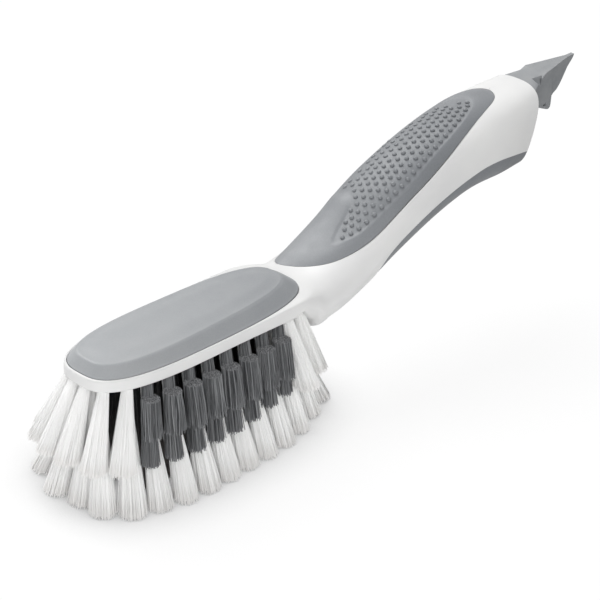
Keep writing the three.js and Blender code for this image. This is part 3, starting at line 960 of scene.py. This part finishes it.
lowerPad = {
    "start": 26.0,         # behind the head's end
    "sweep": 14.0,         # the edge rises from the point over this length
    "drop": 2.4,           # the edge runs this far under the handle's middle
    "endDrop": 2.2,        # at the butt it sinks further, over this run
    "endFrom": 140.0,
    "endRun": 25.0,
    "endEase": 1.4,
    "skin": 1.3,
    "proud": -0.25,        # the skin lies a little below the white round it
    "edge": 0.35,
    "edgeAngle": 60,
    "rowEase": 1.15,       # the rows crowd towards the point
    "rows": 110,
    "columns": 40,
    "smoothAngle": 40,
    "pocketGap": 0.3,
    "pocketDepth": 2.0,
    "pocketTop": 2.5,
    "pocketOverrun": 20,   # the pocket runs out of the butt by this many gaps
    "pocketRows": 70,
    "pocketColumns": 24,
}


def lowerPatch(name, grow, lift, rows, columns):
    startX = headEnd + lowerPad["start"] - grow
    endX = body["buttReach"] + grow * lowerPad["pocketOverrun"]

    def place(u, v):
        x = blend(startX, endX, u ** lowerPad["rowEase"])
        top, bottom, half, _ = section(x)
        power, taper = lowerHalf(x)
        middle, tall = (top + bottom) / 2, (top - bottom) / 2
        run = min(1.0, max(0.0, (x - startX) / lowerPad["sweep"]))
        sinking = max(0.0, (x - lowerPad["endFrom"]) / lowerPad["endRun"]) ** lowerPad["endEase"]
        drop = lowerPad["drop"] + lowerPad["endDrop"] * sinking
        level = blend(bottom, middle - drop + grow, math.sin(run * math.pi / 2))
        edge = -math.asin(min(1.0, (max(0.0, middle - level) / tall) ** (power / 2)))
        angle = blend(edge, -math.pi - edge, v)
        outY, outZ = signedPower(math.cos(angle), power), signedPower(math.sin(angle), power)
        outY *= 1 + taper * outZ
        normal = Vector((0, outY / half, outZ / tall)).normalized()
        y, z = half * outY + normal.y * lift, middle + tall * outZ + normal.z * lift
        return x + (buttX(y, z) - body["buttReach"]) * buttShare(x), y, z

    piece = gridPiece(name, rows, columns, place)
    closeSeams(piece, turn=False)
    faceTowards(piece, (0, 0, -1))
    return piece


def makeLowerPad():
    piece = lowerPatch("lower_grip_cover", 0, lowerPad["proud"], lowerPad["rows"], lowerPad["columns"])
    thicken(piece, lowerPad["skin"])
    roundEdges(piece, lowerPad["edge"], lowerPad["edgeAngle"])
    return piece


def lowerPocket():
    piece = lowerPatch("lower_pocket", lowerPad["pocketGap"], lowerPad["pocketTop"],
                       lowerPad["pocketRows"], lowerPad["pocketColumns"])
    thicken(piece, lowerPad["pocketTop"] + lowerPad["pocketDepth"])
    return piece


lowerPadPiece = makeLowerPad()
cutAway(bodyPiece, lowerPocket())
finishPiece(lowerPadPiece, ["lower_grip_pad"], elastomer, lowerPad["smoothAngle"])
finishPiece(bodyPiece, ["brush_body"], polypropylene, body["smoothAngle"])
print("lower pad made")


# pick: a plug in the butt's mouth that runs out into a flat-topped barb with a lug under it

pickHigh = nodeBox("pick")[1]
pick = {
    "inset": 0.45,         # plug inside the butt's outline
    "mouthBack": 3.0,      # the plug has the handle's section this far before the butt's end
    "closeEase": 0.2,      # its flat sides close in sooner than the rest, and start inside the mouth
    "closeSpan": (0.16, 0.26),
    "top": 90.1,           # height of the barb's flat top
    "barbHalf": 5.3,       # half width of the flat top at its rear
    "tipHalf": 0.85,
    "keelHalf": 2.6,
    "keelMost": 0.75,      # the keel is never wider than this share of the top
    "topShare": 0.3,       # shares of a section's points on the top, the side and the keel
    "sideShare": 0.55,
    "keelShare": 0.15,
    "edge": 0.4,
    "edgeAngle": 38,
    "columns": 40,
    "smoothAngle": 40,
}
# steps out of the mouth, and the share of the way from the mouth's shape to the barb's
plugRows = [
    (-3.5, 0.0), (-1.0, 0.0), (0.2, 0.0), (0.5, 0.03), (0.8, 0.1), (1.0, 0.2), (1.0, 0.32),
    (0.9, 0.46), (0.7, 0.6), (0.5, 0.74), (0.2, 0.88),
]
# the barb from its base to its tip: x on the flat top, then x and z of the lower edge
barbRows = [
    (187.5, 186.0, 75.0), (189.5, 189.8, 73.3), (191.6, 192.6, 72.1), (193.0, 193.8, 71.8),
    (194.0, 194.8, 72.5), (194.9, 195.1, 73.8), (195.8, 194.9, 75.4), (196.8, 195.3, 76.7),
    (198.2, 196.9, 77.6), (200.4, 199.4, 78.4), (201.8, 201.3, 79.9), (203.4, 203.2, 81.8),
    (206.5, 206.5, 85.5), (208.6, 208.6, 87.6), (209.5, 209.4, 88.4), (210.0, 209.8, 89.0),
]
# dents on both sides, as three corners seen from outside and the deepest point
pickDents = [
    [(179.6, -1.6, 91.5), (186.6, -4.2, 91.5), (178.0, -11.5, 89.5), (184.2, -5.4, 85.2)],
    [(179.6, 4.6, 91.5), (186.6, 5.4, 91.5), (178.0, 15, 89.5), (184.2, 9, 84.5)],
    [(191.4, -4.2, 76.7), (193.2, -4.2, 73.2), (188.7, -4.2, 74.2), (191.2, -1.0, 74.3)],
    [(191.4, 4.2, 76.7), (193.2, 4.2, 73.2), (188.7, 4.2, 74.2), (191.2, 1.0, 74.3)],
]


# half a section of the barb from the top's middle to the keel: x, half width and z
def barbPoint(row, v):
    topX, keelX, keelZ = row
    start = barbRows[0][0]
    half = max(pick["barbHalf"] * (pickHigh.x - topX) / (pickHigh.x - start), pick["tipHalf"])
    keelHalf = min(pick["keelHalf"], half * pick["keelMost"])
    side = min(max((v - pick["topShare"]) / pick["sideShare"], 0), 1)
    y = blend(half, keelHalf, side) * min(v / pick["topShare"], 1) * min((1 - v) / pick["keelShare"], 1)
    return blend(topX, keelX, side), y, blend(pick["top"], keelZ, side)


# half a section of the plug, part of the way from the mouth to the barb
def plugPoint(row, v):
    offset, share = row
    top, bottom, half, power = section(body["buttReach"] - pick["mouthBack"])
    angle = math.pi * (0.5 - v)
    power, taper = (power, upperTaper(body["buttReach"])) if v < 0.5 else lowerHalf(body["buttReach"])
    high = signedPower(math.sin(angle), power)
    y = (half - pick["inset"]) * abs(math.cos(angle)) ** (2 / power) * (1 - taper * abs(high))
    z = (top + bottom) / 2 + ((top - bottom) / 2 - pick["inset"]) * high
    barbX, barbY, barbZ = barbPoint(barbRows[0], v)
    closing = blend(share, share ** pick["closeEase"], span(v, pick["closeSpan"]))
    return blend(buttX(y, z), barbX, share) + offset, blend(y, barbY, closing), blend(z, barbZ, share)


def cutDents(piece):
    for corners in pickDents:
        deselectAll()
        bpy.ops.mesh.primitive_cone_add(vertices=3, radius1=1, depth=1)
        dent = bpy.context.object
        for point, corner in zip(sorted(dent.data.vertices, key=lambda p: p.co.z), corners):
            point.co = Vector(corner) * mm
        closeSeams(dent)
        cutAway(piece, dent)


def makePick():
    rows = [(plugPoint, row) for row in plugRows] + [(barbPoint, row) for row in barbRows]

    def place(u, v):
        pointOf, row = rows[round(u * (len(rows) - 1))]
        x, y, z = pointOf(row, v)
        return x, -y, z

    piece = gridPiece("pick_plug", len(rows) - 1, pick["columns"], place)
    mirrorHalf(piece)
    closeEnds(piece)
    roundEdges(piece, pick["edge"], pick["edgeAngle"])
    cutDents(piece)
    return piece


pickPiece = makePick()
finishPiece(pickPiece, ["pick"], pickPlastic, pick["smoothAngle"])
print("pick made")


# bristles: every filament is a slim three-sided rod

strands = {
    "radius": 0.15,
    "sides": 3,
    "rootDepth": 1.2,      # filaments start inside the head
    "flare": 1.15,         # how a tuft widens towards its end
    "stray": 0.38,         # how far tips stray, and how far the middle bows
    "bow": 0.22,
    "mostCut": 0.16,       # largest share by which a filament ends early
    "anyTurn": 6.3,        # about a full turn, in radians
    "meet": 0.0001,
    "smoothAngle": 80,
    "heartSides": 14,      # a white tuft's packed inner filaments are one rod
    "heartShort": 1.0,     # how much sooner they end
    "heartAlong": 0.8,
    "heartTone": 0.7,
    "outerInset": 2.9,     # of the outer tufts inside the rim, and of the fringe inside the sunk plateau
    "fringeInset": 2.2,
}
outerRoot = rimBottom + strands["rootDepth"]
innerRoot = rimBottom - body["plateauDrop"] + strands["rootDepth"]
outerLength, outerWidth = rimLength - strands["outerInset"], rimWidth - strands["outerInset"]
fringeLength = rimLength - body["plateauInset"] - strands["fringeInset"]
fringeWidth = rimWidth - body["plateauInset"] - strands["fringeInset"]


# one filament, 1 long and 1 in radius, with a ring half way if it's bent
def filamentShape(sides, isBent):
    deselectAll()
    bpy.ops.mesh.primitive_cylinder_add(vertices=sides, radius=1, depth=1, location=(0, 0, 0.5))
    bpy.ops.object.transform_apply(location=True)
    rod = bpy.context.object
    if isBent:
        with editing(rod, "DESELECT"):
            bpy.ops.mesh.select_mode(type="EDGE")
        for edge in rod.data.edges:
            a, b = (rod.data.vertices[i].co.z for i in edge.vertices)
            edge.select = abs(a - b) > 0.5
        bpy.ops.object.mode_set(mode="EDIT")
        bpy.ops.mesh.subdivide(number_cuts=1)
        bpy.ops.mesh.select_mode(type="VERT")
        bpy.ops.object.mode_set(mode="OBJECT")
    points = np.array([v.co for v in rod.data.vertices])
    faces = [list(face.vertices) for face in rod.data.polygons]
    bpy.data.objects.remove(rod)
    return points, faces


bentRod, straightRod = (filamentShape(strands["sides"], isBent) for isBent in (True, False))
heartRod = filamentShape(strands["heartSides"], False)


# a tuft of filaments: from a round root to a wider end, with loose tips
def tuft(rod, root, foot, radii, count, ragged=0.5, thick=1.0, hollow=0.0):
    i = np.arange(count)
    rootRadius, footRadius = radii
    spread = np.sqrt(hollow ** 2 + (1 - hollow ** 2) * (i + 0.5) / count)
    turn = i * math.pi * (3 - math.sqrt(5)) + dice.uniform(0, strands["anyTurn"])
    disc = np.stack([spread * np.cos(turn), spread * np.sin(turn)], 1)
    loose = dice.normal(0, 1, (count, 2))
    start, stop = np.array(root, float), np.array(foot, float)
    length = start[2] - stop[2]
    cut = np.minimum(np.abs(dice.normal(0, ragged, count)) / max(length, 1), strands["mostCut"])
    rows = np.unique(rod[0][:, 2].round(4))
    paths = np.zeros((count, len(rows), 3))
    bow = dice.normal(0, strands["bow"], (count, 2))
    for k, t in enumerate(rows):
        s = t * (1 - cut)
        centre = start[None, :2] + (stop - start)[None, :2] * s[:, None]
        wide = rootRadius + (footRadius - rootRadius) * s ** strands["flare"]
        paths[:, k, :2] = (centre + disc * wide[:, None] + loose * (strands["stray"] * s ** 2)[:, None]
                           + bow * (4 * s * (1 - s))[:, None])
        paths[:, k, 2] = start[2] - length * s
    group = {"paths": paths, "radius": strands["radius"] * thick, "tone": dice.uniform(0, 1, count)}
    if hollow:
        stopShare = 1 - strands["heartShort"] / length
        ends = np.array([start, start + (stop - start) * stopShare])
        group["heart"] = ends, hollow * np.array([rootRadius, blend(rootRadius, footRadius, stopShare)])
    return group


def joinTufts(name, rod, tufts):
    rodPoints, rodFaces = rod
    rows = np.unique(rodPoints[:, 2].round(4))
    level = np.searchsorted(rows, rodPoints[:, 2].round(4))
    rods = []  # points, faces, share of the way to the end, and tone
    for group in tufts:
        turns = dice.uniform(0, strands["anyTurn"], len(group["paths"]))
        for path, turn, shade in zip(group["paths"], turns, group["tone"]):
            c, s = math.cos(turn) * group["radius"], math.sin(turn) * group["radius"]
            strand = path[level].copy()
            strand[:, 0] += rodPoints[:, 0] * c - rodPoints[:, 1] * s
            strand[:, 1] += rodPoints[:, 0] * s + rodPoints[:, 1] * c
            rods.append((strand, rodFaces, rodPoints[:, 2], shade))
        if "heart" in group:
            (ends, radii), (heartPoints, heartFaces) = group["heart"], heartRod
            end = (heartPoints[:, 2] > 0.5).astype(int)
            heart = ends[end].copy()
            heart[:, :2] += heartPoints[:, :2] * radii[end][:, None]
            rods.append((heart, heartFaces, heartPoints[:, 2] * strands["heartAlong"], strands["heartTone"]))
    faces, base = [], 0
    for points, sides, _, _ in rods:
        faces += [[base + i for i in side] for side in sides]
        base += len(points)
    mesh = bpy.data.meshes.new(name)
    mesh.from_pydata((np.vstack([points for points, _, _, _ in rods]) * mm).tolist(), [], faces)
    along = [way for _, _, way, _ in rods]
    tone = [np.full(len(points), shade) for points, _, _, shade in rods]
    for key, values in (("along", along), ("tone", tone)):
        attribute = mesh.attributes.new(key, "FLOAT", "POINT")
        attribute.data.foreach_set("value", np.concatenate(values).astype(np.float32))
    piece = bpy.data.objects.new(name, mesh)
    scene.collection.objects.link(piece)
    closeSeams(piece, strands["meet"])
    return piece


# white tufts: short ones at the head's corners, and a long fringe down to the floor

whiteTufts = {
    "count": 560,
    "ragged": 1.2,
    "thick": 0.75,
    "hollow": 0.8,         # the filaments stand in the outer part of a tuft, round its heart
    "shortEnd": 18.0,
    "frontOffsets": (-12.4, -8.1, -1.3, 4.5, 9.9, 13.2),
    "frontReach": 9.6,
    "frontFan": 1.68,
    "frontShift": 0.7,
    "frontRadii": (1.8, 4.6),  # of a tuft's root and of its end
    "rearPlaces": (36.2, 44.6),
    "rearCentre": 30.0,    # the rear ones lean away from here
    "rearReach": 0.33,
    "rearFan": 1.78,
    "rearRadii": (2.0, 4.6),
    # long tufts round the front: root and foot, as x and y
    "fringeFront": (
        ((-44, -0.6), (-52.8, -3.5)), ((-43.2, 4.6), (-54.2, 8)), ((-43.4, -3.2), (-52.3, -13.7)),
        ((-37.4, 8.6), (-48, 22)), ((-36.4, -9), (-45.2, -21.4)),
    ),
    # and round the rear
    "fringeRear": (
        ((40.5, -7.4), (46.5, -16.6)), ((41.5, -4), (57.2, -11.3)), ((42.3, 0), (60.3, -1.5)),
        ((41.5, 4), (59, 9)), ((40.5, 7.4), (49.5, 17)),
    ),
    "fringeRadii": (1.0, 4.8),
    # and along both sides
    "sideStart": -30.0,
    "sidePitch": 9.0,
    "sideCount": 8,
    "sideStretch": 1.13,   # the feet stand further apart than the roots, and a little forwards
    "sideShift": -1.3,
    "sideWide": 2.4,
    "sideNarrow": 0.17,    # the fringe stands a little less wide towards the rear
    "narrowSpan": (-20, 10),
    "sideRadii": (0.9, 4.3),
}


def makeWhiteTufts():
    tufts = []
    end, power = whiteTufts["shortEnd"], body["ovalPower"]

    def add(start, stop, radii):
        tufts.append(tuft(straightRod, start, stop, radii, whiteTufts["count"], whiteTufts["ragged"],
                          whiteTufts["thick"], whiteTufts["hollow"]))

    for y in whiteTufts["frontOffsets"]:
        x = -ovalHalfWidth(outerWidth, outerLength, y, power)
        foot = (x - whiteTufts["frontReach"], y * whiteTufts["frontFan"] + whiteTufts["frontShift"], end)
        add((x, y, outerRoot), foot, whiteTufts["frontRadii"])
    for x in whiteTufts["rearPlaces"]:
        y = ovalHalfWidth(outerLength, outerWidth, x, power)
        footX = x + (x - whiteTufts["rearCentre"]) * whiteTufts["rearReach"]
        for side in (-1, 1):
            foot = (footX, y * side * whiteTufts["rearFan"], end)
            add((x, y * side, outerRoot), foot, whiteTufts["rearRadii"])
    for root, foot in whiteTufts["fringeFront"] + whiteTufts["fringeRear"]:
        add((*root, innerRoot), (*foot, 0), whiteTufts["fringeRadii"])
    for i in range(whiteTufts["sideCount"]):
        x = whiteTufts["sideStart"] + whiteTufts["sidePitch"] * i
        y = ovalHalfWidth(fringeLength, fringeWidth, x, power)
        footX = x * whiteTufts["sideStretch"] + whiteTufts["sideShift"]
        wide = whiteTufts["sideWide"] - whiteTufts["sideNarrow"] * span(x, whiteTufts["narrowSpan"])
        for side in (-1, 1):
            add((x, y * side, innerRoot), (footX, y * side * wide, 0), whiteTufts["sideRadii"])
    return joinTufts("white_bristles", straightRod, tufts)


# grey tufts: a row of shanks along each side, each with a short bundle, its collar, on its outer face

greyTufts = {
    "front": 16.5,         # of the first shank behind the outer tufts' front
    "pitch": 9.0,
    "count": 8,
    "lean": 0.28,
    "sweep": 0.113,        # the shanks lean forwards, and fan out towards the front from here
    "fan": 0.0044,
    "fanFrom": -11.0,
    "end": 16.0,
    "endRise": 3.0,        # the shanks end higher towards the rear
    "riseSpan": (5, 30),
    "shankRadii": (1.9, 3.1),
    "shankCount": 260,
    "shankRagged": 0.7,
    "collarTop": 41.5,
    "collarFall": 1.5,     # the collars start lower towards the rear
    "fallSpan": (-30, 30),
    "collarEnd": 26.4,
    "collarOffset": (1.7, 3.4),  # forwards and outwards from the shank
    "farOffset": (-0.5, 0.5),    # the far side's first ones, which don't show past the head's corner
    "farSpan": (-22.7, -4.7),
    "collarRadii": (3.4, 3.7),
    "collarCount": 300,
    "collarRagged": 1.2,
    "collarThick": 1.15,
    "shortSpan": (-13.7, -31.7),  # towards the front, shanks and collars are this much shorter
    "shortShank": 1.3,
    "shortCollar": 1.9,
}


def makeGreyTufts(name, side):
    tufts = []
    for i in range(greyTufts["count"]):
        x = greyTufts["front"] - outerLength + greyTufts["pitch"] * i
        y = ovalHalfWidth(outerLength, outerWidth, x, body["ovalPower"])
        fan = -greyTufts["sweep"] + min(0, x - greyTufts["fanFrom"]) * greyTufts["fan"]
        short = span(x, greyTufts["shortSpan"])

        def axis(z, forward=0.0, out=0.0):
            drop = outerRoot - z
            return (x - forward + fan * drop, side * (y + greyTufts["lean"] * drop + out), z)

        end = (greyTufts["end"] + greyTufts["endRise"] * span(x, greyTufts["riseSpan"])
               + greyTufts["shortShank"] * short)
        tufts.append(tuft(bentRod, axis(outerRoot), axis(end), greyTufts["shankRadii"],
                          greyTufts["shankCount"], greyTufts["shankRagged"]))
        near = 1 if side < 0 else span(x, greyTufts["farSpan"])
        offset = [blend(a, b, near) for a, b in zip(greyTufts["farOffset"], greyTufts["collarOffset"])]
        top = greyTufts["collarTop"] - greyTufts["collarFall"] * span(x, greyTufts["fallSpan"])
        low = greyTufts["collarEnd"] + greyTufts["shortCollar"] * short
        tufts.append(tuft(bentRod, axis(top, *offset), axis(low, *offset), greyTufts["collarRadii"],
                          greyTufts["collarCount"], greyTufts["collarRagged"], greyTufts["collarThick"]))
    return joinTufts(name, bentRod, tufts)


# core tufts: dark ones in the middle of the head, seen in the gaps between the outer ones

coreTufts = {
    "rows": ((0.0, -34.0), (-5.76, -29.75), (5.76, -29.75)),  # y of each row, and x of its first tuft
    "pitch": 8.5,
    "till": 36.0,
    "spread": (1.08, 2.1),  # how much further apart the feet are than the roots, along and across
    "end": 2.0,
    "radii": (1.9, 4.0),
    "count": 220,
}


def makeCoreTufts():
    tufts = []
    along, across = coreTufts["spread"]
    for y, first in coreTufts["rows"]:
        for x in np.arange(first, coreTufts["till"], coreTufts["pitch"]):
            foot = (x * along, y * across, coreTufts["end"])
            tufts.append(tuft(bentRod, (x, y, innerRoot), foot, coreTufts["radii"], coreTufts["count"]))
    return joinTufts("core_bristles", bentRod, tufts)


whitePiece = makeWhiteTufts()
finishPiece(whitePiece, ["white_tufts"], whiteFilament, strands["smoothAngle"])
greyRight = makeGreyTufts("grey_bristles_right", -1)
finishPiece(greyRight, ["grey_tufts_right"], greyFilament, strands["smoothAngle"])
greyLeft = makeGreyTufts("grey_bristles_left", 1)
finishPiece(greyLeft, ["grey_tufts_left"], greyFilament, strands["smoothAngle"])
corePiece = makeCoreTufts()
finishPiece(corePiece, ["grey_tufts_core"], coreFilament, strands["smoothAngle"])
print("bristles made", [len(p.data.polygons) for p in (whitePiece, greyRight, greyLeft, corePiece)])


# floor, light and background

studio = {
    "floorSide": 6.0,      # metres
    "paperRoughness": 0.9,
    "paperGlow": 0.85,     # how much of what the camera sees of the paper doesn't hang on the light
    "contactReach": 20.0,
    "contactSamples": 8,
    "contactShadow": "#8A8A8A",  # painted shadow: tone of the paper where the bristles stand
    "tableGlow": 0.03,     # the floor is a lit table, which fills the shaded sides from below
    "thrown": ("#FAFAFA", "#8C8C8C"),  # it throws less light up under the handle, between these places
    "underHandle": (80, 250),
    "skyStrength": 0.42,
    "backWall": 1.4,       # what smooth surfaces mirror: a bright wall behind, and less from the front
    "frontWall": 0.4,
    "wallSide": (0.69, 0.72, 0),
    # each lamp's light on a surface that faces it, its turns about x, y and z, and its spread
    "lamps": {
        "overhead": (0.66, (-36, 6, 0), 40),
        "front": (0.4, (70, 0, -34), 60),
    },
    "bounces": 16,
    "diffuseBounces": 12,  # light goes on between the filaments
}
white = (1, 1, 1, 1)


# paper sweep: white to the camera, with the brush's real shadow faded, and a painted shadow where the
# bristles stand
def makeFloor():
    deselectAll()
    bpy.ops.mesh.primitive_plane_add(size=studio["floorSide"])
    floor = bpy.context.object
    floor.name = "floor"
    material, tree = newMaterial("white_paper_sweep")
    seen = addNode(tree, "ShaderNodeLightPath").outputs["Is Camera Ray"]
    pale, dull = studio["thrown"]
    thrown = addNode(tree, "ShaderNodeMix", {
        "data_type": "RGBA", 0: wayAlong(tree, studio["underHandle"]), 6: pale, 7: dull}).outputs[2]
    shown = addNode(tree, "ShaderNodeMix", {
        "data_type": "RGBA", 0: seen, 6: thrown, 7: white}).outputs[2]
    surface = addNode(tree, "ShaderNodeBsdfPrincipled", {
        "Base Color": shown, "Roughness": studio["paperRoughness"], "Specular IOR Level": 0.0,
        "Emission Color": thrown, "Emission Strength": studio["tableGlow"]})
    # most of the real wide shadow fades into the white; where the bristles stand, a painted shadow, darker
    # the nearer the brush, is added to what stays of the real one
    nearness = addNode(tree, "ShaderNodeAmbientOcclusion", {
        "samples": studio["contactSamples"], "Distance": studio["contactReach"] * mm}).outputs["AO"]
    paper = addNode(tree, "ShaderNodeMix", {
        "data_type": "RGBA", 0: nearness, 6: studio["contactShadow"], 7: white}).outputs[2]
    glow = addNode(tree, "ShaderNodeEmission", {"Color": paper, "Strength": 1.0})
    share = addNode(tree, "ShaderNodeMath", {
        "operation": "MULTIPLY", 0: seen, 1: studio["paperGlow"]}).outputs[0]
    mixed = addNode(tree, "ShaderNodeMixShader", {0: share, 1: surface.outputs[0], 2: glow.outputs[0]})
    addNode(tree, "ShaderNodeOutputMaterial", {"Surface": mixed.outputs[0]})
    floor.data.materials.append(material)


def makeWorld():
    world = bpy.data.worlds.new("studio")
    scene.world = world
    world.use_nodes = True
    tree = world.node_tree
    tree.nodes.clear()
    ray = addNode(tree, "ShaderNodeLightPath").outputs
    seen = addNode(tree, "ShaderNodeMath", {
        "operation": "MAXIMUM", 0: ray["Is Camera Ray"], 1: ray["Is Transmission Ray"]}).outputs[0]
    plain = addNode(tree, "ShaderNodeMapRange", {
        "Value": seen, "To Min": studio["skyStrength"], "To Max": 1.0}).outputs["Result"]
    looks = addNode(tree, "ShaderNodeTexCoord").outputs["Generated"]
    backwards = addNode(tree, "ShaderNodeVectorMath", {
        "operation": "DOT_PRODUCT", 0: looks, 1: studio["wallSide"]}).outputs["Value"]
    mirrored = addNode(tree, "ShaderNodeMapRange", {
        "Value": backwards, "From Min": -1.0, "To Min": studio["frontWall"],
        "To Max": studio["backWall"]}).outputs["Result"]
    strength = addNode(tree, "ShaderNodeMix", {
        "data_type": "FLOAT", 0: ray["Is Glossy Ray"], 2: plain, 3: mirrored}).outputs[0]
    sky = addNode(tree, "ShaderNodeBackground", {"Color": white, "Strength": strength})
    addNode(tree, "ShaderNodeOutputWorld", {"Surface": sky.outputs[0]})


def makeLamps():
    for name, (share, turns, spread) in studio["lamps"].items():
        lamp = bpy.data.lights.new(name, "SUN")
        lamp.energy = math.pi * share
        lamp.angle = math.radians(spread)
        sun = bpy.data.objects.new(name, lamp)
        sun.rotation_euler = [math.radians(a) for a in turns]
        scene.collection.objects.link(sun)


makeFloor()
makeWorld()
makeLamps()
scene.cycles.max_bounces = studio["bounces"]
scene.cycles.diffuse_bounces = studio["diffuseBounces"]
scene.view_settings.view_transform = "Standard"
print("studio made")
